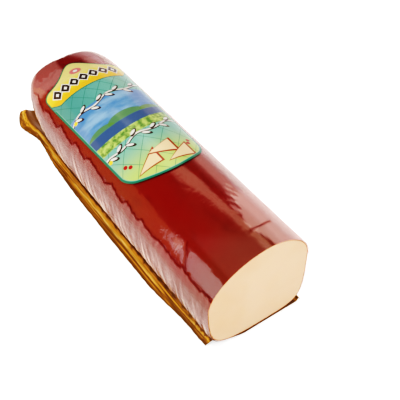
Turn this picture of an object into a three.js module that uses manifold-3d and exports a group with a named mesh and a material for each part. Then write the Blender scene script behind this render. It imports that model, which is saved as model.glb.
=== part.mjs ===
// A smoked cheese log in its vacuum pack, cut straight through at the front.
// X runs across the log, Y along it from the cut end to the rounded end, Z up. Millimetres.

import * as THREE from 'three';
import Module from 'manifold-3d';
import { LoftGeometry } from 'three/addons/geometries/LoftGeometry.js';
import { mergeVertices } from 'three/addons/utils/BufferGeometryUtils.js';

// The log, measured outside its film
const logWidth = 86;
const logHeight = 77.2;
const logLength = 286.5;

// Its section: a flat-bottomed loaf whose crown and flat lie off the middle
const crownShift = 5.4;
const flatShift = 18.9;
const leftBulgeHeight = 45.2;
const rightBulgeHeight = 48;
const fullness = { upperRight: 0.53, upperLeft: 0.53, lowerLeft: 0.9, lowerRight: 0.89 };

// The rounded end rises to a blunt nose near the crown
const endLength = 67.8;
const noseHeight = 65.9;
const endSidePower = 3.39;
const endHeightPower = 1.435;
const endOverhang = 0.628;
const endSkew = 0.104;

// The cut face leans back a little and is a little out of square
const cutLean = 0.029;
const cutSkew = 0.016;
const cutFade = 20;

// Sheets, and the gap between pieces that touch
const filmThickness = 0.4;
const labelThickness = 0.3;
const backingThickness = 0.4;
const gap = 0.3;

// The label, measured along the surface; its edges are the log's stations
const labelShift = -7.7;
const labelFrontHalfWidth = 34;
const labelRearHalfWidth = 40;
const labelFront = 98.3;
const labelFrontBow = 13;
const labelBowShift = 0.1;
const labelShoulder = 246;
const labelPeak = 268;
const labelGable = 0.41;
const labelCorner = 8;

// The backing web: half width at stations along it, and its crimped flanges
const backingFront = -1.5;
const backingRear = 311;
const backingEdge = [
  [-1.5, 40], [8, 40.3], [33, 40.9], [62, 44], [95, 45.2], [183, 45], [227, 43.5],
  [250, 41.2], [270, 39.2], [282, 41.2], [297, 45], [304, 43.2], [311, 38.2]
];
const flangeStart = { left: 28, right: 36.5 };
const flangeCrest = 0.48;
const flangeHeight = 3.4;
const flangeFade = { flat: 36.5, full: 41 };
const flangeRim = 0.15;
const tabLift = { left: 8, right: 3.5 };
const tabLength = 24;
const tabReach = 24;
// Its left front corner is cut back: how far, from where across it, and how far along that fades
const cornerCut = { depth: 8, start: -10, run: 30, fade: 26 };

// How far a cutting solid reaches past the cut, and how near two corners count as one
const cutReach = 10;
const sameCorner = 1e-4;

// Fineness of the meshes
const aroundSteps = 52;
const straightSteps = 7;
const endSteps = 11;
const endSpacing = 1.8;
const endLast = 0.995;
const labelColumns = 20;
const labelRows = 28;
const backingRows = 36;
const flangeSteps = 6;
const flatSteps = 4;

const wasm = await Module();
wasm.setup();

const smooth = (t) => THREE.MathUtils.smoothstep(t, 0, 1);

// One quarter of the section as a curve between two points with square tangents
function quarter(start, end, full, startsUpright) {
  const corner = startsUpright ? new THREE.Vector2(start.x, end.y) : new THREE.Vector2(end.x, start.y);
  const startHandle = start.clone().lerp(corner, full);
  const endHandle = end.clone().lerp(corner, full);
  return new THREE.CubicBezierCurve(start, startHandle, endHandle, end);
}

// The section's outline shrunk by an inset, from the crown down the left side and round
function sectionOutline(inset) {
  const half = logWidth / 2 - inset;
  const crown = new THREE.Vector2(crownShift, logHeight - inset);
  const left = new THREE.Vector2(-half, leftBulgeHeight);
  const flat = new THREE.Vector2(flatShift, inset);
  const right = new THREE.Vector2(half, rightBulgeHeight);
  const outline = new THREE.CurvePath();
  outline.add(quarter(crown, left, fullness.upperLeft, false));
  outline.add(quarter(left, flat, fullness.lowerLeft, true));
  outline.add(quarter(flat, right, fullness.lowerRight, false));
  outline.add(quarter(right, crown, fullness.upperRight, true));
  return outline;
}

// Carries a point of the section to its station along the log, onto the rounded end
function atStation(point, station, inset) {
  const endStart = logLength - endLength;
  const reach = Math.max(0, (station - endStart) / (endLength - inset));
  const narrow = Math.pow(1 - Math.pow(reach, endSidePower), 1 / endSidePower);
  const low = Math.pow(1 - Math.pow(reach, endHeightPower), 1 / endHeightPower);
  const x = point.x * narrow;
  const z = noseHeight + (point.y - noseHeight) * low;
  const cut = Math.max(0, 1 - Math.max(station, 0) / cutFade);
  const lean = reach * (endOverhang * (noseHeight - z) + endSkew * x) + cut * (cutLean * z + cutSkew * x);
  return new THREE.Vector3(x, station + lean, backingThickness + gap + z);
}

// The whole log, shrunk by an inset, from a given first station
function logGeometry(inset, firstStation) {
  const outline = sectionOutline(inset).getSpacedPoints(aroundSteps).slice(1).reverse();
  const endStart = logLength - endLength;
  const stations = firstStation < 0 ? [firstStation] : [];
  for (let i = 0; i < straightSteps; i++) stations.push((endStart * i) / straightSteps);
  for (let i = 0; i <= endSteps; i++) {
    const reach = endLast * (1 - Math.pow(1 - i / endSteps, endSpacing));
    stations.push(endStart + reach * (endLength - inset));
  }
  const sections = stations.map((station) => outline.map((p) => atStation(p, station, inset)));
  return new LoftGeometry(sections, { capStart: true, capEnd: true });
}

// The same surface with its shared corners joined and nothing but positions left
function positionsOnly(geometry) {
  const plain = new THREE.BufferGeometry();
  plain.setAttribute('position', geometry.getAttribute('position'));
  plain.setIndex(geometry.getIndex());
  return mergeVertices(plain, sameCorner);
}

function toSolid(geometry) {
  const merged = positionsOnly(geometry);
  const vertProperties = new Float32Array(merged.getAttribute('position').array);
  const triVerts = new Uint32Array(merged.index.array);
  return new wasm.Manifold(new wasm.Mesh({ numProp: 3, vertProperties, triVerts }));
}

function fromSolid(solid) {
  const mesh = solid.getMesh();
  const geometry = new THREE.BufferGeometry();
  geometry.setAttribute('position', new THREE.BufferAttribute(mesh.vertProperties, 3));
  geometry.setIndex(new THREE.BufferAttribute(mesh.triVerts, 1));
  return geometry;
}

// The film: a tight sleeve closed over the rounded end and open at the cut
function filmGeometry() {
  const outside = toSolid(logGeometry(0, 0));
  const inside = toSolid(logGeometry(filmThickness, -cutReach));
  return fromSolid(outside.subtract(inside));
}

// A thin sheet between two grids of points, rows running along Y and columns along X
function sheetGeometry(top, underside) {
  const rows = top.length;
  const columns = top[0].length;
  const points = [...top.flat(), ...underside.flat()];
  const at = (row, column) => row * columns + column;
  const below = rows * columns;
  const triangles = [];
  const quad = (a, b, c, d) => triangles.push(a, b, c, a, c, d);
  for (let i = 0; i < rows - 1; i++) {
    for (let j = 0; j < columns - 1; j++) {
      const [a, b, c, d] = [at(i, j), at(i, j + 1), at(i + 1, j + 1), at(i + 1, j)];
      quad(a, b, c, d);
      quad(d + below, c + below, b + below, a + below);
    }
  }
  const rim = [];
  for (let j = 0; j < columns - 1; j++) rim.push(at(0, j));
  for (let i = 0; i < rows - 1; i++) rim.push(at(i, columns - 1));
  for (let j = columns - 1; j > 0; j--) rim.push(at(rows - 1, j));
  for (let i = rows - 1; i > 0; i--) rim.push(at(i, 0));
  rim.forEach((p, k) => {
    const q = rim[(k + 1) % rim.length];
    quad(p + below, q + below, q, p);
  });
  const geometry = new THREE.BufferGeometry().setFromPoints(points);
  geometry.setIndex(triangles);
  return geometry;
}

// Where the label starts and ends at a place across it, from -1 to 1, with rounded corners
function labelEnds(across) {
  const side = Math.abs(across);
  const fromEdge = (1 - side) * labelFrontHalfWidth;
  const intoCorner = Math.max(0, 1 - fromEdge / labelCorner);
  const rounding = labelCorner * (1 - Math.sqrt(Math.max(0, 1 - intoCorner * intoCorner)));
  const bow = across - labelBowShift;
  const front = labelFront + labelFrontBow * bow * bow + rounding;
  const gable = Math.exp(-Math.pow(across / labelGable, 2));
  const rear = labelShoulder + (labelPeak - labelShoulder) * gable - rounding;
  return { front, rear };
}

function labelGeometry() {
  const filmOutline = sectionOutline(-gap);
  const outerOutline = sectionOutline(-gap - labelThickness);
  const place = (outline, inset, across, station) => {
    const along = (station - labelFront) / (labelPeak - labelFront);
    const half = THREE.MathUtils.lerp(labelFrontHalfWidth, labelRearHalfWidth, along);
    const arc = -labelShift - across * half;
    const turn = THREE.MathUtils.euclideanModulo(arc / outline.getLength(), 1);
    return atStation(outline.getPointAt(turn), station, inset);
  };
  const grid = (outline, inset) => Array.from({ length: labelRows + 1 }, (_, i) =>
    Array.from({ length: labelColumns + 1 }, (_, j) => {
      const across = -Math.cos((Math.PI * j) / labelColumns);
      const { front, rear } = labelEnds(across);
      return place(outline, inset, across, THREE.MathUtils.lerp(front, rear, i / labelRows));
    })
  );
  return sheetGeometry(grid(outerOutline, -gap - labelThickness), grid(filmOutline, -gap));
}

// Height of the backing at a place: flat under the log, crimped along its flanges where it is wide
// enough, lifted at its tab
function backingHeight(x, y, half) {
  const start = x < 0 ? flangeStart.left : flangeStart.right;
  const out = Math.max(0, (Math.abs(x) - start) / (half - start));
  const rise = smooth(out / flangeCrest);
  const fall = (1 - flangeRim) * smooth((out - flangeCrest) / (1 - flangeCrest));
  const lift = x < 0 ? tabLift.left : tabLift.right;
  const intoTab = smooth((y - backingRear + tabLength) / tabLength);
  const toCorner = smooth((Math.abs(x) - half + tabReach) / tabReach);
  const stand = smooth((half - flangeFade.flat) / (flangeFade.full - flangeFade.flat));
  return stand * flangeHeight * (rise - fall) + lift * intoTab * intoTab * toCorner;
}

// How far the front of the backing is cut back at a place
function cutBack(x, y) {
  const { depth, start, run, fade } = cornerCut;
  return depth * smooth((start - x) / run) * smooth(1 - (y - backingFront) / fade);
}

function backingGeometry() {
  const edge = new THREE.SplineCurve(backingEdge.map(([y, half]) => new THREE.Vector2(y, half)));
  const edgePoints = edge.getPoints(backingRows);
  const underside = edgePoints.map(({ x: y, y: half }) => {
    const { left, right } = flangeStart;
    const places = [];
    for (let i = 0; i < flangeSteps; i++) places.push(THREE.MathUtils.lerp(-half, -left, i / flangeSteps));
    for (let i = 0; i < flatSteps; i++) places.push(THREE.MathUtils.lerp(-left, right, i / flatSteps));
    for (let i = 0; i <= flangeSteps; i++) places.push(THREE.MathUtils.lerp(right, half, i / flangeSteps));
    return places.map((x) => new THREE.Vector3(x, y + cutBack(x, y), backingHeight(x, y, half)));
  });
  const top = underside.map((row) => row.map((p) => p.clone().setZ(p.z + backingThickness)));
  return sheetGeometry(top, underside);
}

function piece(name, geometry, look) {
  const mesh = new THREE.Mesh(geometry, new THREE.MeshStandardMaterial(look));
  mesh.name = name;
  return mesh;
}

const rindLook = { color: 0x96100a, roughness: 0.5, metalness: 0 };
const filmLook = { color: 0xf4e6e2, roughness: 0.12, metalness: 0, transparent: true, opacity: 0.2 };
const labelLook = { color: 0x6fb7a8, roughness: 0.3, metalness: 0 };
const foilLook = { color: 0xc98a2e, roughness: 0.3, metalness: 0.85 };

const smokedCheese = new THREE.Group();
smokedCheese.position.y = -(backingFront + backingRear) / 2;
smokedCheese.add(
  piece('cheese', positionsOnly(logGeometry(filmThickness + gap, 0)), rindLook),
  piece('film', filmGeometry(), filmLook),
  piece('label', labelGeometry(), labelLook),
  piece('backing', backingGeometry(), foilLook)
);

export default smokedCheese;
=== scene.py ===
import math

import bpy
import numpy as np
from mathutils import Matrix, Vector


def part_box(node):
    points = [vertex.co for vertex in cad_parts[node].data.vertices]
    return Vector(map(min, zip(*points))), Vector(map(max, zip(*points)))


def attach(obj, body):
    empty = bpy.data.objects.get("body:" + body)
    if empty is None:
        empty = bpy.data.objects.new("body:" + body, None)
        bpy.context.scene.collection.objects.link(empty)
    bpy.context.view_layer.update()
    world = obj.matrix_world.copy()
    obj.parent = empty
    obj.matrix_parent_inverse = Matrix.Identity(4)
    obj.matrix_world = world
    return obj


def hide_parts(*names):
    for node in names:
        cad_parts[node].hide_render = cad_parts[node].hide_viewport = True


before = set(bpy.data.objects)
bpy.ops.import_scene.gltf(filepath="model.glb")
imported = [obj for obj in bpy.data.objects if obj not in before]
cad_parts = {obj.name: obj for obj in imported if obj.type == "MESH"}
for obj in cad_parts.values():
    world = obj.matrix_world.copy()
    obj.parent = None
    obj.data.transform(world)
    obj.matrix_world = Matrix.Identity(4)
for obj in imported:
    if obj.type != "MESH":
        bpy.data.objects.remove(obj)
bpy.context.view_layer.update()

mm = 0.001
filmLow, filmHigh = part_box("film")
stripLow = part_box("backing")[0]
stripAhead = 1.5                        # how far the strip stands ahead of the cut

# The log's form in millimetres. Its width, height and place come from the frame
log = {
    "width": (filmHigh.x - filmLow.x) / mm,
    "height": (filmHigh.z - filmLow.z) / mm,
    "base": filmLow.z / mm,
    "start": stripLow.y / mm + stripAhead,
    "length": 286.5,
    "crownShift": 5.4,                  # the crown and the flat lie off the middle
    "flatShift": 18.9,
    "leftBulge": 45.2,                  # heights at which the flanks stand out furthest
    "rightBulge": 48,
    "fullUpper": 0.53,                  # how full each quarter of the section is
    "fullLowerLeft": 0.9,
    "fullLowerRight": 0.89,
    "quarterSteps": 160,
    "endLength": 67.8,                  # of the rounded end
    "noseHeight": 65.9,
    "sidePower": 3.39,                  # how square the end is from above and from the side
    "heightPower": 1.435,
    "overhang": 0.628,
    "endSkew": 0.104,
    "endEase": 1.8,                     # how much closer the rings stand towards the nose
    "lastRing": 0.9995,                 # share of the rounded end at which it is closed
    "cutLean": 0.029,
    "cutSkew": 0.016,
    "cutFade": 20,
    "filmThickness": 0.4,
    "gap": 0.3,                         # between pieces that touch
}
straightLength = log["length"] - log["endLength"]


# The log's surface, shared by every piece that lies on it
def quarter(start, end, corner, full):
    t = np.linspace(0, 1, log["quarterSteps"], endpoint=False)[:, None]
    first = start + (corner - start) * full
    second = end + (corner - end) * full
    curve = (1 - t) ** 3 * start + 3 * (1 - t) ** 2 * t * first
    return curve + 3 * (1 - t) * t ** 2 * second + t ** 3 * end


def sectionOutline(inset):
    half = log["width"] / 2 - inset
    top = log["height"] - inset
    crown = np.array([log["crownShift"], top])
    left = np.array([-half, log["leftBulge"]])
    flat = np.array([log["flatShift"], inset])
    right = np.array([half, log["rightBulge"]])
    outline = np.concatenate([
        quarter(crown, left, np.array([-half, top]), log["fullUpper"]),
        quarter(left, flat, np.array([-half, inset]), log["fullLowerLeft"]),
        quarter(flat, right, np.array([half, inset]), log["fullLowerRight"]),
        quarter(right, crown, np.array([half, top]), log["fullUpper"]),
    ])
    return np.concatenate([outline, outline[:1]])


outline = sectionOutline(0)
outlineShrink = sectionOutline(1) - outline
outlineSteps = np.linalg.norm(np.diff(outline, axis=0), axis=1)
outlineLength = outlineSteps.sum()
outlineTurns = np.concatenate([[0], np.cumsum(outlineSteps)]) / outlineLength


def onSection(turn, inset):             # turn runs once round, from the crown down the left side
    turn = turn % 1
    x = np.interp(turn, outlineTurns, outline[:, 0])
    z = np.interp(turn, outlineTurns, outline[:, 1])
    x = x + inset * np.interp(turn, outlineTurns, outlineShrink[:, 0])
    z = z + inset * np.interp(turn, outlineTurns, outlineShrink[:, 1])
    return x, z


def onLog(turn, along, inset):          # along is millimetres from the cut
    x, z = onSection(turn, inset)
    reach = np.clip((along - straightLength) / log["endLength"], 0, 1)
    narrow = (1 - reach ** log["sidePower"]) ** (1 / log["sidePower"])
    low = (1 - reach ** log["heightPower"]) ** (1 / log["heightPower"])
    x = x * narrow
    z = log["noseHeight"] + (z - log["noseHeight"]) * low
    cut = np.clip(1 - along / log["cutFade"], 0, 1)
    lean = reach * (log["overhang"] * (log["noseHeight"] - z) + log["endSkew"] * x)
    lean = lean + cut * (log["cutLean"] * z + log["cutSkew"] * x)
    y = np.minimum(along, straightLength) + reach * (log["endLength"] - inset) + lean
    return np.stack([x, log["start"] + y, log["base"] + z], -1)


def smooth(value):
    value = np.clip(value, 0, 1)
    return value * value * (3 - 2 * value)


def waver(value, seed):                 # a slow, uneven wave between -1 and 1
    total = np.sin(value + seed) + 0.6 * np.sin(1.73 * value + 2.1 * seed)
    total = total + 0.4 * np.sin(2.91 * value + 3.7 * seed)
    return total / 2


def stationsAlong(first, straightRows, endRows):
    straight = np.linspace(first, straightLength, straightRows, endpoint=False)
    ease = 1 - (1 - np.linspace(0, 1, endRows)) ** log["endEase"]
    return np.concatenate([straight, straightLength + log["endLength"] * log["lastRing"] * ease])


def deselect():
    for one in bpy.context.selected_objects:
        one.select_set(False)


# A grid primitive whose corners are laid where place(across, along) says, both from 0 to 1
def laidGrid(name, columns, rows, place):
    deselect()
    bpy.ops.mesh.primitive_grid_add(x_subdivisions=columns, y_subdivisions=rows, size=2)
    piece = bpy.context.object
    piece.name = name
    piece.data.name = name
    flat = np.empty(len(piece.data.vertices) * 3, np.float32)
    piece.data.vertices.foreach_get("co", flat)
    flat = flat.reshape(-1, 3)
    laid = place((flat[:, 0] + 1) / 2, (flat[:, 1] + 1) / 2) * mm
    piece.data.vertices.foreach_set("co", laid.astype(np.float32).ravel())
    piece.data.update()
    return piece


def setAttribute(piece, name, values):
    layer = piece.data.attributes.new(name, "FLOAT", "POINT")
    layer.data.foreach_set("value", np.asarray(values, np.float32))


def joinSeam():                         # where the grid's two sides meet on the crown
    bpy.ops.object.mode_set(mode="EDIT")
    bpy.ops.mesh.select_all(action="SELECT")
    bpy.ops.mesh.remove_doubles(threshold=0.01 * mm)
    bpy.ops.object.mode_set(mode="OBJECT")


def closeRearEnd(piece):
    bpy.ops.object.mode_set(mode="EDIT")
    bpy.ops.mesh.select_all(action="DESELECT")
    bpy.ops.mesh.select_mode(type="EDGE")
    bpy.ops.mesh.select_non_manifold()
    bpy.ops.object.mode_set(mode="OBJECT")
    middle = (log["start"] + log["length"] / 2) * mm
    for edge in piece.data.edges:
        edge.select = edge.select and piece.data.vertices[edge.vertices[0]].co.y > middle
    bpy.ops.object.mode_set(mode="EDIT")
    bpy.ops.mesh.edge_face_add()
    bpy.ops.object.mode_set(mode="OBJECT")


def thicken(piece, thickness):          # inwards from the surface
    solid = piece.modifiers.new("thickness", "SOLIDIFY")
    solid.thickness = thickness * mm
    solid.offset = -1
    bpy.ops.object.modifier_apply(modifier=solid.name)


def finishPiece(piece, materials, node, sharpAngle):
    for material in materials:
        piece.data.materials.append(material)
    deselect()
    piece.select_set(True)
    bpy.context.view_layer.objects.active = piece
    bpy.ops.object.shade_smooth_by_angle(angle=math.radians(sharpAngle))
    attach(piece, "root")
    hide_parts(node)


# Helpers for the materials
def newMaterial(name):
    material = bpy.data.materials.new(name)
    material.use_nodes = True
    tree = material.node_tree
    tree.nodes.clear()
    return material, tree


def addNode(tree, kind, inputs=None, **settings):
    node = tree.nodes.new(kind)
    for key, value in settings.items():
        setattr(node, key, value)
    for key, value in (inputs or {}).items():
        if isinstance(value, bpy.types.NodeSocket):
            tree.links.new(value, node.inputs[key])
        else:
            node.inputs[key].default_value = value
    return node


def calc(tree, operation, first, second=0.0, third=0.0, clamp=False):
    inputs = {0: first, 1: second, 2: third}
    return addNode(tree, "ShaderNodeMath", inputs, operation=operation, use_clamp=clamp).outputs[0]


def times(tree, first, second, clamp=False):
    return calc(tree, "MULTIPLY", first, second, clamp=clamp)


def plus(tree, first, second):
    return calc(tree, "ADD", first, second)


def minus(tree, first, second):
    return calc(tree, "SUBTRACT", first, second)


def timesPlus(tree, first, second, third, clamp=False):
    return calc(tree, "MULTIPLY_ADD", first, second, third, clamp)


def larger(tree, first, second):
    return calc(tree, "MAXIMUM", first, second)


def absolute(tree, value):
    return calc(tree, "ABSOLUTE", value)


def ramp(tree, value, low, high):       # 0 below low, 1 above high, smooth between
    inputs = {"Value": value, "From Min": low, "From Max": high}
    return addNode(tree, "ShaderNodeMapRange", inputs, interpolation_type="SMOOTHSTEP").outputs["Result"]


def blend(tree, factor, first, second):
    node = addNode(tree, "ShaderNodeMix", {"Factor": factor}, data_type="RGBA")
    for socket, value in ((node.inputs[6], first), (node.inputs[7], second)):
        if isinstance(value, bpy.types.NodeSocket):
            tree.links.new(value, socket)
        else:
            socket.default_value = (*value, 1)
    return node.outputs[2]


def objectPlace(tree, scale=(1, 1, 1)):
    place = addNode(tree, "ShaderNodeTexCoord").outputs["Object"]
    return addNode(tree, "ShaderNodeMapping", {"Vector": place, "Scale": scale}).outputs["Vector"]


def scaledNoise(tree, scale, detail):   # scale along x, y and z
    return noise(tree, objectPlace(tree, scale), 1.0, detail)


def noise(tree, vector, scale, detail, roughness=0.5):
    inputs = {"Vector": vector, "Scale": scale, "Detail": detail, "Roughness": roughness}
    return addNode(tree, "ShaderNodeTexNoise", inputs).outputs["Fac"]


def bump(tree, height, depth, strength, normal=None):     # depth in millimetres
    inputs = {"Height": height, "Distance": depth * mm, "Strength": strength}
    if normal is not None:
        inputs["Normal"] = normal
    return addNode(tree, "ShaderNodeBump", inputs).outputs["Normal"]


def painted(tree, name):                # a value set on the piece's own points
    return addNode(tree, "ShaderNodeAttribute", attribute_name=name).outputs["Fac"]


def partOf(tree, vector, letter):
    return addNode(tree, "ShaderNodeSeparateXYZ", {"Vector": vector}).outputs[letter]


def principled(tree, inputs):
    return addNode(tree, "ShaderNodeBsdfPrincipled", inputs)


def mixShaders(tree, share, first, second):
    return addNode(tree, "ShaderNodeMixShader", {0: share, 1: first.outputs[0], 2: second.outputs[0]})


def output(tree, shader, kind="Material"):
    addNode(tree, "ShaderNodeOutput" + kind, {"Surface": shader.outputs[0]})


# The cheese. A bump is its depth in millimetres and its strength
cheese = {
    "rindRed": (0.19, 0.005, 0.002),
    "rindBrown": (0.18, 0.018, 0.006),
    "rindDark": (0.145, 0.005, 0.002),
    "rindCut": (0.16, 0.027, 0.009),
    "browned": (8, 42),                 # full this near the cut, gone this far from it
    "brownedShare": 0.85,
    "broadScale": (22, 9, 22),
    "mottleScale": (90, 45, 90),
    "rindGrainScale": 420,
    "rindGrainBump": (0.2, 0.25),
    "mottleBump": (0.8, 0.25),
    "rindCoat": 0.9,
    "paste": (0.80, 0.57, 0.36),
    "pasteWarm": (0.77, 0.52, 0.30),
    "cloudScale": 28,
    "dragScale": (60, 60, 900),         # faint level lines
    "dragBump": (0.1, 0.3),
    "pasteGrainScale": 1500,
    "pasteGrainBump": (0.05, 0.3),
    "rim": (0.62, 0.27, 0.12),
    "rimWidth": 0.75,
    "rimGrainScale": 700,
    "rimBump": (0.1, 0.4),
    "columns": 180,
    "rows": (110, 34),                  # along the straight part and the rounded end
    "sharpAngle": 30,
}


def rindMaterial():
    material, tree = newMaterial("smoked rind")
    place = objectPlace(tree)
    broad = scaledNoise(tree, cheese["broadScale"], 4.0)
    grain = noise(tree, place, cheese["rindGrainScale"], 4.0)
    colour = blend(tree, ramp(tree, broad, 0.4, 0.7), cheese["rindRed"], cheese["rindBrown"])
    mottle = scaledNoise(tree, cheese["mottleScale"], 5.0)
    colour = blend(tree, ramp(tree, mottle, 0.5, 0.8), colour, cheese["rindDark"])
    near, far = (log["start"] + reach for reach in cheese["browned"])
    browned = ramp(tree, partOf(tree, place, "Y"), far * mm, near * mm)
    browned = times(tree, browned, cheese["brownedShare"])
    colour = blend(tree, browned, colour, cheese["rindCut"])
    rough = timesPlus(tree, grain, 0.2, 0.3)
    normal = bump(tree, grain, *cheese["rindGrainBump"])
    normal = bump(tree, mottle, *cheese["mottleBump"], normal)
    inputs = {"Base Color": colour, "Roughness": rough, "Normal": normal, "Specular IOR Level": 0.3}
    inputs.update({"Coat Weight": cheese["rindCoat"], "Coat Roughness": 0.06})
    output(tree, principled(tree, inputs))
    return material


def pasteMaterial():
    material, tree = newMaterial("cheese paste")
    place = objectPlace(tree)
    cloud = noise(tree, place, cheese["cloudScale"], 3.0)
    colour = blend(tree, ramp(tree, cloud, 0.35, 0.75), cheese["paste"], cheese["pasteWarm"])
    drag = scaledNoise(tree, cheese["dragScale"], 2.0)
    grain = noise(tree, place, cheese["pasteGrainScale"], 2.0)
    normal = bump(tree, drag, *cheese["dragBump"])
    normal = bump(tree, grain, *cheese["pasteGrainBump"], normal)
    inputs = {"Base Color": colour, "Roughness": 0.42, "Normal": normal, "Subsurface Weight": 0.15}
    inputs.update({"Subsurface Radius": (0.004, 0.0025, 0.001), "Subsurface Scale": 1.0})
    output(tree, principled(tree, inputs))
    return material


def rimMaterial():
    material, tree = newMaterial("cut rind")
    grain = noise(tree, objectPlace(tree), cheese["rimGrainScale"], 3.0)
    colour = blend(tree, ramp(tree, grain, 0.45, 0.8), cheese["rim"], cheese["rindBrown"])
    inputs = {"Base Color": colour, "Roughness": 0.5, "Normal": bump(tree, grain, *cheese["rimBump"])}
    output(tree, principled(tree, inputs))
    return material


def makeCheese():
    stations = stationsAlong(0, *cheese["rows"])
    inset = log["filmThickness"] + log["gap"]

    def place(across, along):
        station = np.interp(along, np.linspace(0, 1, len(stations)), stations)
        return onLog(1 - across, station, inset)

    piece = laidGrid("cheeseLog", cheese["columns"], len(stations) - 1, place)
    joinSeam()
    closeRearEnd(piece)
    bpy.ops.object.mode_set(mode="EDIT")
    bpy.ops.mesh.select_all(action="DESELECT")
    bpy.ops.mesh.select_non_manifold()
    bpy.ops.mesh.edge_face_add()
    bpy.ops.mesh.inset(thickness=cheese["rimWidth"] * mm)
    bpy.ops.object.mode_set(mode="OBJECT")
    materials = [rindMaterial(), pasteMaterial(), rimMaterial()]
    finishPiece(piece, materials, "cheese", cheese["sharpAngle"])

    # the paste is the largest face of the cut, with the ring of rind round it
    cutFaces = [face for face in piece.data.polygons if face.normal.y < -0.95]
    largest = max(face.area for face in cutFaces)
    for face in cutFaces:
        face.material_index = 1 if face.area == largest else 2
        face.use_smooth = False
    print("cheese:", len(piece.data.polygons), "faces")


# The film. A place on it is millimetres round from the crown, right positive, and along from the cut
film = {
    "columns": 196,
    "rows": (196, 46),
    "overCut": 0.5,                     # how far the film stands past the cut
    "shoulderTurn": 0.19,               # where the columns stand closer, and how much
    "shoulderSpread": 0.06,
    "shoulderFineness": 1.6,
    "sharpAngle": 60,
    "foldHeight": 55.9,                 # of the crinkled fold below which the film hangs loose
    "foldWander": 3.8,
    "toothLength": 25,
    "smallTooth": 7.3,
    "rightDrop": 6,                     # the fold lies this much lower on the right
    "foldDepth": 0.26,
    "foldWidth": 0.8,
    "foldEnds": (4, 285),               # stations at which the fold begins and ends
    "foldShadow": 0.75,                 # half width of the painted shade line along it
    "drapeSpacing": 7.4,
    "drapeSlant": 0.14,
    "drapeLift": 0.8,
    "drapeTop": (54, 40),               # height where the drapes begin, and over how much they grow
    "gatherSpacing": 2.7,
    "gatherLift": 0.35,
    "gatherTop": (17, 12),
    "rippleLift": 0.06,                 # of the small ripples on the shoulders
    "rippleBand": (44, 74),
    "swellLift": 0.1,
    "calm": (58, 17, 0.9),              # station, half length and share of a smoother left stretch
    # sharp creases, each with how dark the painted shade along it is
    "creases": [
        {"path": [(-37, 43), (-43, 37), (-50, 31)], "width": 1.0, "depth": 0.35, "shade": 0.8},
        {"path": [(-51, 25), (-50, 8)], "width": 1.0, "depth": 0.3, "shade": 0.0},
        {"path": [(0.6, 20.6), (7.1, 20.4), (19, 22.4)], "width": 0.9, "depth": 0.3, "shade": 0.85},
        {"path": [(4, 38), (6, 48), (5, 57)], "width": 1.2, "depth": 0.15, "shade": 0.0},
        {"path": [(14, 56), (20, 66), (24, 84)], "width": 1.2, "depth": 0.12, "shade": 0.0},
        {"path": [(-45, 262), (-30, 262), (-22, 268)], "width": 1.3, "depth": 0.35, "shade": 0.3},
        {"path": [(-38, 250), (-46, 244), (-55, 247)], "width": 1.0, "depth": 0.25, "shade": 0.3},
    ],
    "creaseShadow": 0.8,                # half width of that painted shade line
    # small crumpled spots: place, radius and depth
    "crumples": [(-51, 37, 4, 0.12), (-50, 242, 9, 0.12), (4, 21, 4, 0.08)],
    # the milky patch on the right: its left side at places along, its rear side at places round
    "patchLeft": ([0, 10, 20, 27, 38], [5.5, 4, 0.4, 0.4, 3]),
    "patchRear": ([3, 6.5, 9.4, 15.7, 30, 50], [38, 44, 53, 58, 61, 52]),
    "feathers": [(4, 42), (8, 51), (11, 58), (14, 64)],     # the line along which it frays
    "fingerSpacing": 5.0,
    "blister": (-42, 47.5, 5.4),        # place and radius of a small milky blister
    "noseHaze": (246, -14, 40),         # station, place round and height where it begins
    "looseness": {"patch": 1.4, "feathers": 1.1, "shoulder": 0.55,
                  "blister": 0.5, "front": 0.13, "most": 2.5},
    "hangFrom": (4, 28),                # under the fold, where the hanging streaks grow in
    "tint": (0.985, 0.975, 0.965),
    # painted shade: the rind seen through the film is darkened along the fold and the creases
    "foldShadeTint": (0.82, 0.5, 0.45),
    "glossTint": (1.0, 0.87, 0.87),
    "glossRoughness": 0.05,
    "glossLow": 0.045,                  # share of gloss seen straight on
    "foldMatt": 0.85,                   # how much of its gloss the fold loses
    "rippleScale": (70, 38, 70),
    "rippleBump": (1.2, 0.25),
    "crinkleScale": (260, 420, 260),
    "crinkleBump": (0.2, 0.2),
    "streakScale": 0.22,
    "streakBump": (0.7, 0.5),
    "milk": (3.7, 0.55),                # whitening of a streak, and between streaks
    "haze": (0.94, 0.57, 0.52),
    "hazeStreak": (0.97, 0.82, 0.72),
    "hazeShare": 0.18,                  # how much the loose film whitens
}


def roundFromCrown(turn):               # millimetres round the surface, the right side positive
    return np.where(turn < 0.5, -turn, 1 - turn) * outlineLength


def zigzag(value):                      # 0 to 1 and back, once for each whole number
    return 2 * np.abs(value % 1 - 0.5)


def tooth(value):                       # climbs slowly from 0 to 1 and drops back, likewise
    share = value % 1
    return np.minimum(share / 0.76, (1 - share) / 0.24)


def foldLine(along):                    # height of the fold on a flank
    big = tooth(along / film["toothLength"] + 0.42 + 0.25 * waver(along / 21, 2.0))
    small = tooth(along / film["smallTooth"] + 0.5 * waver(along / 9, 6.0))
    fade = 0.4 + 0.6 * smooth((along - 60) / 60)
    swing = (big - 0.5) * fade + 0.22 * (small - 0.5) + 0.08 * waver(along / 0.9, 3.0)
    return film["foldHeight"] + film["foldWander"] * swing


def underFold(along, x, z):             # millimetres below the fold, which lies lower on the right
    right = foldLine(along + 137) - film["rightDrop"]
    return np.where(x < 0, foldLine(along), right) - z


def slanted(along, z):                  # the station where a leaning fold passes a height of 30
    return along - film["drapeSlant"] * (z - 30)


def drapeShare(along, z):               # 1 on the crest of a fold that hangs down the flank, 0 between
    phase = slanted(along, z) / film["drapeSpacing"] + 0.35 * waver(along / 23, 1.0)
    return (0.5 + 0.5 * np.cos(2 * np.pi * phase)) ** 1.4


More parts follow.
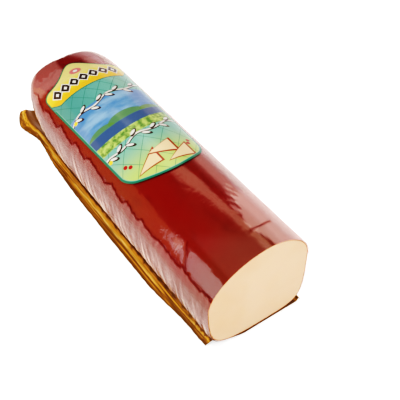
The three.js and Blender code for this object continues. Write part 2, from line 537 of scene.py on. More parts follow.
def nearPath(path, around, along):      # distance to a line of points
    nearest = np.full(around.shape, 1e6)
    for (startAround, startAlong), (endAround, endAlong) in zip(path, path[1:]):
        runAround, runAlong = endAround - startAround, endAlong - startAlong
        share = (around - startAround) * runAround + (along - startAlong) * runAlong
        share = np.clip(share / (runAround ** 2 + runAlong ** 2), 0, 1)
        far = np.hypot(around - startAround - share * runAround, along - startAlong - share * runAlong)
        nearest = np.minimum(nearest, far)
    return nearest


def creaseShare(crease, turn, along, width):            # 1 along a crease, 0 away from it
    around = roundFromCrown(turn) + 0.5 * waver(along / 1.7, 2.0)
    return np.exp(-(nearPath(crease["path"], around, along) / width) ** 2)


def filmLift(turn, along):              # outward, in millimetres
    x, z = onSection(turn, 0)
    around = roundFromCrown(turn)

    # drapes down the flanks, and small gathers at their foot
    drapeTop, drapeGrow = film["drapeTop"]
    down = smooth((drapeTop - z) / drapeGrow) * (np.abs(x) > 12)
    lift = film["drapeLift"] * down * drapeShare(along, z) * (0.7 + 0.3 * waver(along / 31, 4.0))
    gatherTop, gatherGrow = film["gatherTop"]
    low = smooth((gatherTop - z) / gatherGrow) * (np.abs(x) > 20)
    gather = 0.5 + 0.5 * np.sin(2 * np.pi * along / film["gatherSpacing"] + 2 * waver(along / 7, 2.0))
    lift = lift + film["gatherLift"] * low * gather

    # the crinkled fold above them
    fold = np.exp(-(underFold(along, x, z) / film["foldWidth"]) ** 2)
    foldStart, foldEnd = film["foldEnds"]
    fold = fold * smooth((along - foldStart) / 10) * smooth((foldEnd - along) / 30)
    lift = lift + film["foldDepth"] * fold * (0.6 + 0.4 * waver(along / 5, 3.0))

    # ripples and a faint swell on the shoulders, calmer on a stretch of the left one
    rippleLow, rippleHigh = film["rippleBand"]
    shoulder = smooth((z - rippleLow) / 6) * smooth((rippleHigh - z) / 6)
    ripple = np.sin(around / 1.5 + 3 * waver(along / 4, 5.0)) * (0.6 + 0.4 * waver(along / 9, 8.0))
    calmMiddle, calmHalf, calmShare = film["calm"]
    calm = np.exp(-((along - calmMiddle) / calmHalf) ** 2) * (x < 0)
    lift = lift + film["rippleLift"] * shoulder * ripple * (1 - calmShare * calm)
    offCrown = np.abs(x - log["crownShift"])
    swell = film["swellLift"] * waver(along / 17 + x / 9, 5.0) * smooth((offCrown - 8) / 20)
    lift = lift + swell * (1 - calm)

    for crease in film["creases"]:
        lift = lift + crease["depth"] * creaseShare(crease, turn, along, crease["width"])
    for middle, station, radius, depth in film["crumples"]:
        near = np.exp(-((around - middle) ** 2 + (along - station) ** 2) / radius ** 2)
        lift = lift + depth * near * waver(around / 0.9, 1.0) * waver(along / 1.1 + around / 2, 4.0)

    # tighter at the cut, and flat at the foot where the log rests
    return lift * (0.35 + 0.65 * smooth(along / 6)) * smooth((z - 1) / 8)


def looseShare(turn, along):            # how far the film stands off the rind and turns milky
    x, z = onSection(turn, 0)
    around = roundFromCrown(turn)
    weight = film["looseness"]

    # the flank, milkier on the drapes and a little less so near the cut, clear again at the foot
    under = underFold(along, x, z)
    flank = smooth(under / 0.8) * (0.7 + 0.3 * smooth(under / 42))
    flank = flank * (0.55 + 0.45 * drapeShare(along, z) + 0.15 * waver(along / 15, 3.0))
    flank = flank * (0.95 - 0.17 * smooth((75 - along) / 60))
    seam = smooth((z - 7.5 - 1.2 * waver(along / 1.3, 2.0)) / 2.5)

    # the milky patch on the right, with ragged fingers at its rear and along its frayed line
    fingers = zigzag((0.9 * around + 0.4 * along) / film["fingerSpacing"] + 0.3 * waver(along / 5, 1.0))
    leftEdge = np.interp(along, *film["patchLeft"])
    rearEdge = np.interp(around, *film["patchRear"])
    patch = smooth((around - leftEdge) / 1.5) * smooth((rearEdge - along + 7 * (fingers - 0.5)) / 3)
    feathers = weight["feathers"] * smooth((5 - nearPath(film["feathers"], around, along)) / 4)
    feathers = feathers * smooth((fingers - 0.2) / 0.7)
    right = weight["patch"] * patch + feathers + weight["shoulder"] * smooth((around - 4) / 9)
    right = right * smooth((z - 44) / 12)

    # smaller milky places: a blister, the rounded end's left side and the front left of the crown
    middle, station, radius = film["blister"]
    wander = 0.5 * waver(around / 1.3, 2.0) + 0.5 * waver(along / 1.6, 4.0)
    inside = radius + wander - np.hypot(around - middle, along - station)
    blister = weight["blister"] * smooth(inside / 1.6)
    noseStart, noseSide, noseLow = film["noseHaze"]
    nose = smooth((along - noseStart - 2 * fingers) / 6) * smooth((noseSide - around) / 4)
    nose = nose * smooth((z - noseLow) / 12)
    front = weight["front"] * smooth((20 - along - around) / 18)
    front = front * smooth((around + 34) / 3) * smooth((4 - around) / 5)
    return np.clip(flank * seam + right + blister + nose + front, 0, weight["most"])


def filmMaterial():
    material, tree = newMaterial("pack film")
    loose = painted(tree, "loose")
    # the fold attribute holds the painted shade along the crinkled fold and along the creases
    fold = painted(tree, "fold")

    # fine streaks that hang down the loose film
    height = partOf(tree, objectPlace(tree, (1, 1, 140)), "Z")
    hang = addNode(tree, "ShaderNodeCombineXYZ", {"X": painted(tree, "slant"), "Y": height}).outputs[0]
    streak = ramp(tree, noise(tree, hang, film["streakScale"], 3.5, 0.55), 0.4, 0.66)
    hung = times(tree, streak, painted(tree, "drape"))
    normal = bump(tree, scaledNoise(tree, film["rippleScale"], 2.0), *film["rippleBump"])
    normal = bump(tree, scaledNoise(tree, film["crinkleScale"], 2.0), *film["crinkleBump"], normal)
    normal = bump(tree, times(tree, hung, loose), *film["streakBump"], normal)

    # clear film, glossier where it is seen at a slant
    facing = addNode(tree, "ShaderNodeLayerWeight", {"Blend": 0.5, "Normal": normal}).outputs["Facing"]
    grazing = calc(tree, "POWER", facing, 5.0)
    shine = timesPlus(tree, grazing, 1 - film["glossLow"], film["glossLow"], clamp=True)
    # the fold and the creases also lose most of their gloss, which deepens their painted shade
    shine = times(tree, shine, timesPlus(tree, fold, -film["foldMatt"], 1.0))
    inputs = {"Color": (*film["glossTint"], 1), "Roughness": film["glossRoughness"], "Normal": normal}
    gloss = addNode(tree, "ShaderNodeBsdfGlossy", inputs)
    # painted shade: seen through the film, the rind is darker along the fold and the creases
    seenThroughWithShade = blend(tree, fold, film["tint"], film["foldShadeTint"])
    clear = addNode(tree, "ShaderNodeBsdfTransparent", {"Color": seenThroughWithShade})
    skin = mixShaders(tree, shine, clear, gloss)

    # milky where it stands off the rind
    milk = timesPlus(tree, hung, *film["milk"])
    cloudy = times(tree, loose, times(tree, milk, film["hazeShare"]))
    cloudy = times(tree, cloudy, minus(tree, 1.0, fold), clamp=True)
    milky = blend(tree, hung, film["haze"], film["hazeStreak"])
    haze = addNode(tree, "ShaderNodeBsdfDiffuse", {"Color": milky, "Normal": normal})
    output(tree, mixShaders(tree, cloudy, skin, haze))
    return material


def makeFilm():
    stations = stationsAlong(-film["overCut"], *film["rows"])
    even = np.linspace(0, 1, 400)
    fromShoulder = (even - film["shoulderTurn"]) / film["shoulderSpread"]
    finer = np.cumsum(1 + film["shoulderFineness"] * np.exp(-fromShoulder ** 2))
    finer = (finer - finer[0]) / (finer[-1] - finer[0])

    def turnAt(across):                 # columns stand closer on the left shoulder
        return np.interp(1 - across, finer, even)

    def place(across, along):
        station = np.interp(along, np.linspace(0, 1, len(stations)), stations)
        turn = turnAt(across)
        return onLog(turn, station, -filmLift(turn, station))

    piece = laidGrid("packFilm", film["columns"], len(stations) - 1, place)
    grid = np.arange(len(piece.data.vertices))
    turn = turnAt(grid % (film["columns"] + 1) / film["columns"])
    station = stations[grid // (film["columns"] + 1)]
    setAttribute(piece, "loose", looseShare(turn, station))
    x, z = onSection(turn, 0)
    under = underFold(station, x, z)
    # painted shade along the crinkled fold and along the creases, kept in the fold attribute
    fold = np.exp(-(under / film["foldShadow"]) ** 2) * smooth((270 - station) / 20)
    for crease in film["creases"]:
        shadow = crease["shade"] * creaseShare(crease, turn, station, film["creaseShadow"])
        fold = np.maximum(fold, shadow)
    setAttribute(piece, "fold", fold)
    hangStart, hangGrow = film["hangFrom"]
    setAttribute(piece, "drape", smooth((under - hangStart) / hangGrow))
    setAttribute(piece, "slant", slanted(station, z))
    joinSeam()
    closeRearEnd(piece)
    thicken(piece, log["filmThickness"])
    finishPiece(piece, [filmMaterial()], "film", film["sharpAngle"])
    print("film:", len(piece.data.polygons), "faces")


# The label
label = {
    "shift": -7.7,                      # of its middle from the crown, round the surface
    "frontHalf": 34,                    # half widths
    "rearHalf": 40,
    "front": 98.3,                      # stations, as are the shoulder and the peak
    "frontBow": 13,
    "bowShift": 0.1,
    "shoulder": 246,
    "peak": 268,
    "gable": 0.41,
    "corner": 8,
    "thickness": 0.3,
    "columns": 96,
    "rows": 150,
    "sharpAngle": 50,
    "printUnit": 100,                   # millimetres to one unit of the print
    "teal": (0.08, 0.21, 0.18),
    "tealPale": (0.155, 0.315, 0.255),
    "edgeGreen": (0.02, 0.13, 0.085),
    "header": (0.56, 0.42, 0.05),
    "headerPale": (0.52, 0.44, 0.17),
    "amber": (0.55, 0.32, 0.03),
    "sky": (0.08, 0.17, 0.33),
    "skyPale": (0.20, 0.31, 0.43),
    "water": (0.05, 0.09, 0.17),
    "meadow": (0.095, 0.17, 0.045),
    "meadowPale": (0.34, 0.42, 0.13),
    "ink": (0.04, 0.025, 0.02),
    "white": (0.53, 0.51, 0.47),
    "cream": (0.56, 0.43, 0.25),
    "rust": (0.24, 0.04, 0.02),
    "berry": (0.30, 0.02, 0.02),
    "rose": (0.45, 0.14, 0.14),
    # places on the print: across from its middle, and along from its front
    "hillBase": (0.70, 0.06, 0.25),     # level, slope and bow of the land's edge
    # middle, radius and level
    "hills": [(-0.22, 0.13, 0.70), (0.03, 0.17, 0.715), (0.27, 0.12, 0.73)],
    "vines": [(1.03, 0.14, 0.6), (0.475, 0.12, 2.2)],       # level, slope and phase
    "vineWave": (0.02, 21.0),           # swing and pitch
    "leaves": 8,
    # tip and turn
    "wedges": [(-0.22, 0.13, 0.35), (-0.07, 0.25, -0.1), (0.02, 0.09, 0.25)],
    "berries": [(-0.26, 0.28), (-0.23, 0.25), (0.25, 0.20), (0.27, 0.235)],
    "headerLevel": 1.255,
    "diamonds": 7,
    "borderEnd": (1.28, 1.24),          # the wide border stops here, below the header
}


# A node group that turns a place on the print into a mask. Its sockets go to build by name
def maskGroup(name, inputNames, build):
    tree = bpy.data.node_groups.new(name, "ShaderNodeTree")
    for inputName in inputNames:
        tree.interface.new_socket(inputName, in_out="INPUT", socket_type="NodeSocketFloat")
    tree.interface.new_socket("Mask", in_out="OUTPUT", socket_type="NodeSocketFloat")
    entry = tree.nodes.new("NodeGroupInput")
    mask = build(tree, {inputName: entry.outputs[inputName] for inputName in inputNames})
    addNode(tree, "NodeGroupOutput", {"Mask": mask})
    return tree


def spotMask(tree, at):                 # an ellipse
    x = calc(tree, "DIVIDE", minus(tree, at["U"], at["Centre U"]), at["Radius U"])
    y = calc(tree, "DIVIDE", minus(tree, at["V"], at["Centre V"]), at["Radius V"])
    y = minus(tree, y, times(tree, x, at["Lean"]))
    squares = plus(tree, times(tree, x, x), times(tree, y, y))
    far = calc(tree, "SQRT", squares)
    return ramp(tree, far, plus(tree, 1.0, at["Soft"]), minus(tree, 1.0, at["Soft"]))


def waveMask(tree, at):                 # a band that follows a sloping wave
    swing = calc(tree, "SINE", timesPlus(tree, at["U"], at["Pitch"], at["Phase"]))
    middle = timesPlus(tree, at["U"], at["Slope"], at["Level"])
    middle = timesPlus(tree, swing, at["Swing"], middle)
    away = absolute(tree, minus(tree, at["V"], middle))
    return ramp(tree, away, plus(tree, at["Half"], 0.004), minus(tree, at["Half"], 0.002))


def diamondMask(tree, at):              # a diamond, longer one way than the other
    x = calc(tree, "DIVIDE", minus(tree, at["U"], at["Centre U"]), at["Radius U"])
    y = calc(tree, "DIVIDE", minus(tree, at["V"], at["Centre V"]), at["Radius V"])
    far = plus(tree, absolute(tree, x), absolute(tree, y))
    return ramp(tree, far, 1.08, 0.94)


def wedgeMask(tree, at):                # a triangle that opens towards +U from its tip
    x = minus(tree, at["U"], at["Tip U"])
    y = minus(tree, at["V"], at["Tip V"])
    y = minus(tree, y, times(tree, x, at["Turn"]))
    opening = times(tree, x, at["Spread"])
    inside = ramp(tree, minus(tree, opening, absolute(tree, y)), -0.002, 0.004)
    before = ramp(tree, x, plus(tree, at["Length"], 0.003), at["Length"])
    return times(tree, inside, before)


def latticeMask(tree, at):              # thin crossing lines
    lines = None
    for sign in (1.0, -1.0):
        lean = timesPlus(tree, at["U"], sign, times(tree, at["V"], 0.8))
        near = calc(tree, "PINGPONG", lean, times(tree, at["Pitch"], 0.5))
        line = ramp(tree, near, plus(tree, at["Half"], 0.0015), at["Half"])
        lines = line if lines is None else larger(tree, lines, line)
    return lines


def labelMaterial():
    material, tree = newMaterial("label print")
    printed = addNode(tree, "ShaderNodeUVMap", uv_map="print").outputs["UV"]
    across, along = partOf(tree, printed, "X"), partOf(tree, printed, "Y")
    toEdge = painted(tree, "toEdge")
    place = ["U", "V"]
    oval = place + ["Centre U", "Centre V", "Radius U", "Radius V"]
    wave = place + ["Level", "Slope", "Swing", "Pitch", "Phase", "Half"]
    wedge = place + ["Tip U", "Tip V", "Turn", "Spread", "Length"]
    groups = {
        "spot": maskGroup("round spot", oval + ["Soft", "Lean"], spotMask),
        "diamond": maskGroup("diamond", oval, diamondMask),
        "wave": maskGroup("wave band", wave, waveMask),
        "wedge": maskGroup("wedge", wedge, wedgeMask),
        "lattice": maskGroup("lattice", place + ["Pitch", "Half"], latticeMask),
    }

    def shape(kind, *values):
        node = addNode(tree, "ShaderNodeGroup", node_tree=groups[kind])
        tree.links.new(across, node.inputs["U"])
        tree.links.new(along, node.inputs["V"])
        for socket, value in zip(node.inputs[2:], values):
            socket.default_value = value
        return node.outputs["Mask"]

    def over(colour, mask, name, share=1.0):
        if share < 1:
            mask = times(tree, mask, share)
        return blend(tree, mask, colour, label[name])

    def above(level, slope=0.0, bow=0.0, soft=0.004):
        edge = timesPlus(tree, times(tree, across, across), bow, level)
        edge = timesPlus(tree, across, slope, edge)
        return ramp(tree, minus(tree, along, edge), -soft, soft)

    drawnOut = addNode(tree, "ShaderNodeMapping", {"Vector": printed, "Scale": (3, 8, 1)}).outputs[0]
    cloud = noise(tree, drawnOut, 1.0, 4.0)
    speckle = noise(tree, printed, 26.0, 3.0)

    # fields of colour from the front edge to the gable
    colour = blend(tree, ramp(tree, along, 0.12, 0.46), label["meadowPale"], label["tealPale"])
    colour = over(colour, shape("lattice", 0.17, 0.002), "edgeGreen", 0.75)
    grass = blend(tree, ramp(tree, speckle, 0.35, 0.65), label["meadow"], label["meadowPale"])
    colour = blend(tree, above(0.50, 0.06, 0.2), colour, grass)
    colour = over(colour, above(0.60, 0.08, 0.3), "water")
    sky = blend(tree, ramp(tree, cloud, 0.42, 0.7), label["sky"], label["skyPale"])
    colour = blend(tree, above(*label["hillBase"]), colour, sky)
    for centre, radius, level in label["hills"]:
        hill = shape("spot", centre, level, radius, radius * 0.42, 0.03)
        hill = times(tree, hill, above(*label["hillBase"]))
        colour = over(colour, hill, "meadow", 0.85)
    tealField = blend(tree, ramp(tree, across, -0.3, 0.3), label["teal"], label["tealPale"])
    tealField = over(tealField, shape("lattice", 0.13, 0.002), "edgeGreen", 0.8)
    colour = blend(tree, above(1.03, 0.0, -0.1), colour, tealField)

    # two vines across the fields, each with leaves on both sides
    swing, pitch = label["vineWave"]
    for level, slope, phase in label["vines"]:
        colour = over(colour, shape("wave", level - 0.004, slope, swing, pitch, phase, 0.013), "ink")
        colour = over(colour, shape("wave", level, slope, swing, pitch, phase, 0.007), "white")
        for step in range(label["leaves"]):
            leafU = -0.28 + 0.08 * step
            side = 1 if step % 2 else -1
            leafV = level + slope * leafU + swing * math.sin(pitch * leafU + phase) + 0.03 * side
            shadow = shape("spot", leafU + 0.004, leafV - 0.006, 0.036, 0.024, 0.1, side)
            colour = over(colour, shadow, "ink")
            colour = over(colour, shape("spot", leafU, leafV, 0.027, 0.014, 0.14, side), "white")
        colour = over(colour, shape("spot", -0.315, level - 0.055, 0.018, 0.018, 0.12), "header")

    # wedges and berries on the front field
    for tipU, tipV, turn in label["wedges"]:
        colour = over(colour, shape("wedge", tipU - 0.014, tipV - 0.006, turn, 0.40, 0.225), "rust")
        colour = over(colour, shape("wedge", tipU, tipV, turn, 0.36, 0.195), "cream")
    for centreU, centreV in label["berries"]:
        colour = over(colour, shape("spot", centreU, centreV, 0.017, 0.017, 0.12), "berry")

    # header shield in the gable
    side = absolute(tree, across)
    rise = times(tree, ramp(tree, side, 0.29, 0.40), 0.08)
    height = minus(tree, along, plus(tree, rise, label["headerLevel"]))
    margin = times(tree, minus(tree, toEdge, 1.2), 1 / label["printUnit"])
    inside = calc(tree, "MINIMUM", height, margin)
    colour = over(colour, ramp(tree, inside, -0.014, -0.008), "edgeGreen")
    shield = blend(tree, ramp(tree, along, 1.30, 1.36), label["amber"], label["header"])
    shield = blend(tree, ramp(tree, along, 1.38, 1.5), shield, label["headerPale"])
    colour = blend(tree, ramp(tree, inside, -0.002, 0.003), colour, shield)
    for step in range(label["diamonds"]):
        centreU = -0.27 + 0.09 * step
        centreV = 1.375 + 0.02 * math.cos(centreU * 6)
        colour = over(colour, shape("diamond", centreU, centreV, 0.058, 0.078), "white")
        colour = over(colour, shape("diamond", centreU, centreV, 0.046, 0.064), "ink")
        colour = over(colour, shape("diamond", centreU, centreV, 0.018, 0.026), "white")
    colour = over(colour, shape("spot", -0.01, 1.54, 0.055, 0.045, 0.1), "rose")
    colour = over(colour, shape("spot", -0.01, 1.54, 0.02, 0.017, 0.12), "white")

    # a thin border all round, and a wider one with a pale line up to the header
    belowHeader = ramp(tree, along, *label["borderEnd"])
    rim = times(tree, ramp(tree, toEdge, 2.5, 2.1), belowHeader)
    colour = over(colour, rim, "tealPale")
    wide = times(tree, ramp(tree, toEdge, 2.0, 1.6), belowHeader)
    rim = larger(tree, ramp(tree, toEdge, 0.9, 0.6), wide)
    colour = over(colour, rim, "edgeGreen")
    dots = noise(tree, printed, 90.0, 2.0)
    inputs = {"Base Color": colour, "Roughness": timesPlus(tree, dots, 0.1, 0.3)}
    inputs.update({"Normal": bump(tree, noise(tree, printed, 9.0, 2.0), 0.6, 0.25)})
    inputs.update({"Coat Weight": 1.0, "Coat Roughness": 0.05})
    output(tree, principled(tree, inputs))
    return material


# Millimetres round from the label's middle and along from the cut, for side -1 to 1 and along 0 to 1
def labelPlace(side, along):
    edge = np.abs(side)
    fromEdge = (1 - edge) * label["frontHalf"]
    into = np.clip(1 - fromEdge / label["corner"], 0, 1)
    rounding = label["corner"] * (1 - np.sqrt(1 - into * into))
    front = label["front"] + label["frontBow"] * (side - label["bowShift"]) ** 2 + rounding
    gable = np.exp(-(side / label["gable"]) ** 2)
    rear = label["shoulder"] + (label["peak"] - label["shoulder"]) * gable - rounding
    station = front + (rear - front) * along
    share = (station - label["front"]) / (label["peak"] - label["front"])
    half = label["frontHalf"] + (label["rearHalf"] - label["frontHalf"]) * share
    return side * half, station


def labelEdgeDistance():                # of each corner of the grid, in millimetres
    count = (label["columns"] + 1) * (label["rows"] + 1)
    grid = np.arange(count)
    across = grid % (label["columns"] + 1) / label["columns"]
    along = grid // (label["columns"] + 1) / label["rows"]
    spots = np.stack(labelPlace(-np.cos(np.pi * across), along), -1)
    onRim = (across == 0) | (across == 1) | (along == 0) | (along == 1)
    rim = spots[onRim]
    return np.array([np.min(np.hypot(*(rim - spot).T)) for spot in spots])


def makeLabel():
    def place(across, along):
        side = -np.cos(np.pi * across)
        offset, station = labelPlace(side, along)
        turn = -(label["shift"] + offset) / outlineLength
        return onLog(turn, station, -log["gap"] - label["thickness"])

    piece = laidGrid("frontLabel", label["columns"], label["rows"], place)
    uvLayer = piece.data.uv_layers[0]
    uvLayer.name = "print"
    flat = np.empty(len(uvLayer.data) * 2, np.float32)
    uvLayer.data.foreach_get("uv", flat)
    flat = flat.reshape(-1, 2)
    offset, station = labelPlace(-np.cos(np.pi * flat[:, 0]), flat[:, 1])
    uv = np.stack([offset, station - label["front"]], -1) / label["printUnit"]
    uvLayer.data.foreach_set("uv", uv.astype(np.float32).ravel())
    setAttribute(piece, "toEdge", labelEdgeDistance())
    thicken(piece, label["thickness"])
    finishPiece(piece, [labelMaterial()], "label", label["sharpAngle"])
    print("label:", len(piece.data.polygons), "faces")


# The foil strip under the log, with stations counted from the cut
backing = {
    "front": -stripAhead,
    "rear": 311,
    "cornerCut": {"depth": 8.0, "start": -10, "run": 30, "fade": 26},   # of the front left corner
    "flushDepth": 1.3,                  # the front lies this far back, except on the left
    # station and half width of the edge
    "edge": [(-stripAhead, 40.0), (8, 40.3), (33, 40.9), (62, 44), (95, 45.2), (183, 45), (227, 43.5),
             (250, 41.2), (270, 39.2), (282, 41.2), (297, 45), (304, 43.2), (311, 38.2)],
    "flangeLeft": 28,                   # the raised sides begin this far from the middle
    "flangeRight": 36.5,
    "crest": 0.48,                      # where on a side its ridge is highest
    "height": 3.4,
    "flatHalf": 36.5,                   # the ridge is gone at this half width, and full at the next
    "fullHalf": 41,
    "rim": 0.15,                        # how high the rim stands, as a share of the ridge
    "tabLiftLeft": 8,                   # how far the rear corners lift
    "tabLiftRight": 3.5,
    "tabLength": 24,
    "tabReach": 24,
    "thickness": 0.4,
    "columns": 110,
    "rows": 320,
    "sharpAngle": 50,
    "highlightWidth": 0.45,                 # half width of the painted highlight line on the ridge
    "scallop": (2.2, 9.5),              # depth and length of the waves along the seam's painted shade line
    "seamMargin": (2.3, 1.5, 1.6),      # its width, what a plain edge takes off and the front adds
    "plainFrom": (160, 40),             # where the edge turns plain, and over how much
    "creaseScale": (1100, 16, 1100),
    "creaseBump": (0.8, 0.5),
    "crimpScale": (160, 520, 160),
    "crimpBump": (0.3, 0.4),
    "patchScale": (90, 30, 90),
    "gold": (0.66, 0.30, 0.04),
    # bronze: for random darker patches and creases, and for the painted shade on the slope towards the
    # rim
    "bronze": (0.20, 0.08, 0.008),
    # the colour of the painted highlight on the ridge
    "highlightGold": (1.0, 0.63, 0.25),
    # the rim's own brown edge, and the painted shade line along the seam under the film
    "rimBrownAndSeamShade": (0.17, 0.07, 0.013),
}


def backingEdge(share):                 # station and half width at a share of the strip's length
    points = np.array(backing["edge"], float)
    points = np.concatenate([points[:1], points, points[-1:]])
    spot = share * (len(points) - 3)
    first = np.clip(np.floor(spot).astype(int), 0, len(points) - 4)
    t = (spot - first)[:, None]
    p0, p1, p2, p3 = (points[first + k] for k in range(4))
    a = 2 * p1
    b = (p2 - p0) * t
    c = (2 * p0 - 5 * p1 + 4 * p2 - p3) * t ** 2
    d = (3 * p1 - p0 - 3 * p2 + p3) * t ** 3
    return ((a + b + c + d) / 2).T


def foilMaterial():
    material, tree = newMaterial("gold foil")
    creases = scaledNoise(tree, backing["creaseScale"], 3.0)
    crimps = scaledNoise(tree, backing["crimpScale"], 3.0)
    patchy = scaledNoise(tree, backing["patchScale"], 2.0)
    # painted shade darkens the slope towards the rim; creases and patches vary the tone at random
    toneAndOuterShade = timesPlus(tree, painted(tree, "outerShade"), 0.5, 1.2)
    toneAndOuterShade = timesPlus(tree, creases, -2.4, toneAndOuterShade)
    toneAndOuterShade = timesPlus(tree, patchy, -0.5, plus(tree, toneAndOuterShade, 0.25))
    colour = blend(tree, ramp(tree, toneAndOuterShade, -0.1, 0.5), backing["gold"], backing["bronze"])
    # a painted highlight along the ridge, broken up by patches
    paintedHighlight = times(tree, painted(tree, "crest"), ramp(tree, patchy, 0.38, 0.66))
    colour = blend(tree, paintedHighlight, colour, backing["highlightGold"])
    # the rim's own brown edge, and a painted shade line where the film meets the foil
    rim = times(tree, painted(tree, "rim"), 0.8)
    seam = times(tree, painted(tree, "seam"), 0.9)
    colour = blend(tree, larger(tree, rim, seam), colour, backing["rimBrownAndSeamShade"])
    normal = bump(tree, creases, *backing["creaseBump"])
    normal = bump(tree, crimps, *backing["crimpBump"], normal)
    inputs = {"Base Color": colour, "Metallic": 0.3, "Roughness": 0.3, "Normal": normal}
    inputs.update({"Coat Weight": 0.5, "Coat Roughness": 0.08})
    output(tree, principled(tree, inputs))
    return material


def makeBacking():
    def place(across, along):
        station, half = backingEdge(along)
        half = half + 0.2 * waver(station / 1.7, 3.0) + 0.2 * waver(station / 9, 6.0)
        x = (across * 2 - 1) * half
        isLeft = x < 0
        start = np.where(isLeft, backing["flangeLeft"], backing["flangeRight"])
        out = np.clip((np.abs(x) - start) / (half - start), 0, 1)
        rise = smooth(out / backing["crest"])
        fall = (1 - backing["rim"]) * smooth((out - backing["crest"]) / (1 - backing["crest"]))
        lift = np.where(isLeft, backing["tabLiftLeft"], backing["tabLiftRight"])
        intoTab = smooth((station - backing["rear"] + backing["tabLength"]) / backing["tabLength"])
        toCorner = smooth((np.abs(x) - half + backing["tabReach"]) / backing["tabReach"])
        stand = smooth((half - backing["flatHalf"]) / (backing["fullHalf"] - backing["flatHalf"]))
        z = stand * backing["height"] * (rise - fall) + lift * intoTab ** 2 * toCorner
        fromFront = station - backing["front"]
        flush = smooth((x + backing["flangeLeft"]) / 12) * smooth(1 - fromFront / 5)
        corner = backing["cornerCut"]
        cutBack = smooth((corner["start"] - x) / corner["run"]) * smooth(1 - fromFront / corner["fade"])
        station = station + backing["flushDepth"] * flush + corner["depth"] * cutBack
        return np.stack([x, log["start"] + station, z + backing["thickness"]], -1)

    piece = laidGrid("backingStrip", backing["columns"], backing["rows"], place)
    grid = np.arange(len(piece.data.vertices))
    across = grid % (backing["columns"] + 1) / backing["columns"]
    station, half = backingEdge(grid // (backing["columns"] + 1) / backing["rows"])
    fromRim = (1 - np.abs(across * 2 - 1)) * half
    ridge = (half - backing["flangeLeft"]) * (1 - backing["crest"])
    # where the painted highlight runs, on the slope between the rim and the crest
    fromCrest = fromRim - 0.6 * ridge - 0.5 * waver(station / 9, 2.0)
    setAttribute(piece, "crest", np.exp(-(fromCrest / backing["highlightWidth"]) ** 2))
    # painted shade line along the seam where the film meets the foil, scalloped towards the cut
    plainStart, plainGrow = backing["plainFrom"]
    plain = smooth((station - plainStart) / plainGrow)
    scallopDepth, scallopLength = backing["scallop"]
    scallop = scallopDepth * np.sqrt(zigzag(station / scallopLength + 0.3 * waver(station / 14, 5.0)))
    scallop = scallop * (1 - plain)
    seamWidth, plainLess, frontMore = backing["seamMargin"]
    margin = seamWidth - plainLess * plain + frontMore * smooth((60 - station) / 50)
    setAttribute(piece, "seam", smooth((fromRim - ridge + margin - scallop) / 0.5))
    setAttribute(piece, "rim", smooth(1 - fromRim / (1.1 + 0.5 * waver(station / 3, 1.0))))
    # painted shade on the slope towards the rim of each side
    setAttribute(piece, "outerShade", smooth((0.75 - fromRim / ridge) / 0.45))
    thicken(piece, backing["thickness"])
    finishPiece(piece, [foilMaterial()], "backing", backing["sharpAngle"])
    print("backing:", len(piece.data.polygons), "faces")


# The floor, lights and camera, in metres
studio = {
    "floorSize": 6.0,
    "floorLevel": -0.0002,
    "floorColour": (0.9, 0.9, 0.9),
    "floorGlow": 0.35,
    "floorPale": (0.30, 0.27, 0.25),    # what the pieces get back from the floor
    "floorDim": (0.26, 0.23, 0.21),
    "floorMirrored": (0.12, 0.52),      # how much of it a gloss shows, on the left and on the right; the dimmer left is painted shade
    "mirrorTurn": (-0.04, 0.03),        # left ends and right begins here
    "ceiling": 0.02,
    # name, place, target, size and power
    "lamps": [("overhead", (0.1, 0.1, 1.5), (0, 0, 0), 1.8, 20),
              ("front", (-0.4, -1.5, 0.6), (0, 0, 0.03), 1.2, 20),
              ("right", (1.5, 0.3, 0.6), (0, 0, 0.03), 1.2, 9),
              ("left", (-1.5, 0.2, 0.6), (0, 0, 0.03), 1.2, 19)],
    "cameraPlace": (-0.1921, -0.3610, 0.4066),
    "cameraAzimuth": -34.775,
    "cameraElevation": 45.205,
    "lens": 61.62,                      # in millimetres, as is the sensor
    "sensor": 36,
}


def makeFloor():
    deselect()
    bpy.ops.mesh.primitive_plane_add(size=studio["floorSize"], location=(0, 0, studio["floorLevel"]))
    floor = bpy.context.object
    floor.name = "floor"
    material, tree = newMaterial("pale floor")
    grain = noise(tree, objectPlace(tree), 300.0, 2.0)
    colour = blend(tree, grain, studio["floorDim"], studio["floorPale"])
    inputs = {"Base Color": colour, "Roughness": 0.9, "Specular IOR Level": 0.1}
    dim = principled(tree, inputs)
    inputs.update({"Base Color": (*studio["floorColour"], 1)})
    inputs.update({"Emission Color": (1, 1, 1, 1), "Emission Strength": studio["floorGlow"]})
    bright = principled(tree, inputs)
    path = addNode(tree, "ShaderNodeLightPath").outputs
    # painted shade: a gloss sees the floor's left side dimmer than its right side
    mirrored = ramp(tree, partOf(tree, objectPlace(tree), "X"), *studio["mirrorTurn"])
    left, right = studio["floorMirrored"]
    mirrored = timesPlus(tree, mirrored, right - left, left)
    mirrored = times(tree, path["Is Glossy Ray"], mirrored)
    seen = larger(tree, path["Is Camera Ray"], mirrored)
    output(tree, mixShaders(tree, seen, dim, bright))
    floor.data.materials.append(material)
    print("floor laid")


# 1 towards a soft box, 0 away from it
def directionMask(tree, direction, azimuth, spread, soft, low, high, edge, flare):
    def vectorMath(operation, *parts):
        return addNode(tree, "ShaderNodeVectorMath", dict(enumerate(parts)), operation=operation).outputs

    aim = (math.cos(math.radians(azimuth)), math.sin(math.radians(azimuth)), 0)
    level = vectorMath("MULTIPLY", direction, (1, 1, 0))[0]
    level = vectorMath("NORMALIZE", level)[0]
    near = vectorMath("DOT_PRODUCT", level, aim)["Value"]
    height = partOf(tree, direction, "Z")
    near = timesPlus(tree, height, flare, near)
    side = ramp(tree, near, math.cos(math.radians(spread + soft)), math.cos(math.radians(spread)))
    lowSin, highSin = math.sin(math.radians(low)), math.sin(math.radians(high))
    above = ramp(tree, height, lowSin - edge, lowSin + edge)
    below = ramp(tree, height, highSin + edge, highSin - edge)
    return times(tree, side, times(tree, above, below))


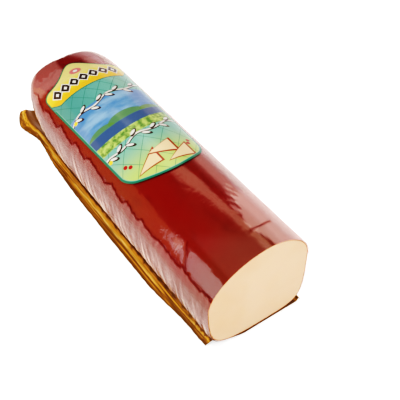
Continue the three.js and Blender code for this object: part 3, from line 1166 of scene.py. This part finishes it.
# Soft boxes of the studio, as directions in degrees: azimuth from +X, elevation from the floor
softBoxes = [
    {"azimuth": 22, "spread": 38, "soft": 14, "low": -8, "high": 8, "edge": 0.1,
     "light": 0.66, "colour": (1, 0.88, 0.94)},
    {"azimuth": 22, "spread": 36, "soft": 10, "low": 8, "high": 25, "edge": 0.05,
     "light": 0.55, "colour": (1, 0.72, 0.64)},
    {"azimuth": 52, "spread": 26, "soft": 6, "low": 43, "high": 51, "edge": 0.02,
     "light": 0.85, "colour": (1, 0.85, 0.65)},
    {"azimuth": 131, "spread": 15.5, "soft": 1, "low": -4, "high": 31, "edge": 0.02,
     "light": 0.5, "colour": (1, 0.6, 0.24)},
    {"azimuth": 158, "spread": 7.4, "soft": 1, "low": 3, "high": 36, "edge": 0.02, "flare": 0.08,
     "light": 1.2, "colour": (0.8, 1.0, 1.06)},
    {"azimuth": 180, "spread": 170, "soft": 8, "low": 64, "high": 90, "edge": 0.05,
     "light": 0.25, "colour": (0.8, 1, 0.55)},
]


def makeWorld():
    world = bpy.data.worlds.new("studio")
    bpy.context.scene.world = world
    world.use_nodes = True
    tree = world.node_tree
    tree.nodes.clear()
    direction = addNode(tree, "ShaderNodeTexCoord").outputs["Generated"]
    sky = (studio["ceiling"],) * 3
    for box in softBoxes:
        shape = [box[key] for key in ("azimuth", "spread", "soft", "low", "high", "edge")]
        shape.append(box.get("flare", 0))
        glow = tuple(box["light"] * part for part in box["colour"])
        sky = blend(tree, directionMask(tree, direction, *shape), sky, glow)
    lit = addNode(tree, "ShaderNodeBackground", {"Color": sky, "Strength": 1.0})
    seen = addNode(tree, "ShaderNodeBackground", {"Color": (1, 1, 1, 1), "Strength": 1.0})
    isCamera = addNode(tree, "ShaderNodeLightPath").outputs["Is Camera Ray"]
    output(tree, mixShaders(tree, isCamera, lit, seen), "World")
    print("soft boxes:", len(softBoxes))


def addLight(name, place, target, size, power):
    data = bpy.data.lights.new(name, "AREA")
    data.shape = "DISK"
    data.size = size
    data.energy = power
    lamp = bpy.data.objects.new(name, data)
    bpy.context.scene.collection.objects.link(lamp)
    lamp.location = place
    lamp.rotation_euler = (Vector(target) - Vector(place)).to_track_quat("-Z", "Y").to_euler()
    lamp.visible_glossy = False


def makeLights():
    for lamp in studio["lamps"]:
        addLight(*lamp)
    print("lamps:", len(studio["lamps"]))


def makeCamera():
    data = bpy.data.cameras.new("camera")
    data.lens = studio["lens"]
    data.sensor_width = studio["sensor"]
    data.clip_start = 0.01
    camera = bpy.data.objects.new("camera", data)
    bpy.context.scene.collection.objects.link(camera)
    camera.location = studio["cameraPlace"]
    down = 90 - studio["cameraElevation"]
    camera.rotation_euler = (math.radians(down), 0, math.radians(studio["cameraAzimuth"]))
    bpy.context.scene.camera = camera
    print("camera set")


# The photograph's own contrast: light in, light shown
contrast = [(0, 0), (0.05, 0.02), (0.1, 0.075), (0.15, 0.15), (0.2, 0.255), (0.3, 0.42), (0.4, 0.555),
            (0.5, 0.66), (0.6, 0.755), (0.7, 0.835), (0.8, 0.9), (0.9, 0.955), (1, 1)]


def setContrast():
    settings = bpy.context.scene.view_settings
    settings.view_transform = "Standard"
    settings.use_curve_mapping = True
    curve = settings.curve_mapping.curves[3]
    for light, shown in contrast[1:-1]:
        curve.points.new(light, shown)
    settings.curve_mapping.update()
    print("contrast set")


makeCheese()
makeFilm()
makeLabel()
makeBacking()
makeFloor()
makeWorld()
makeLights()
makeCamera()
setContrast()

print("scene ready")
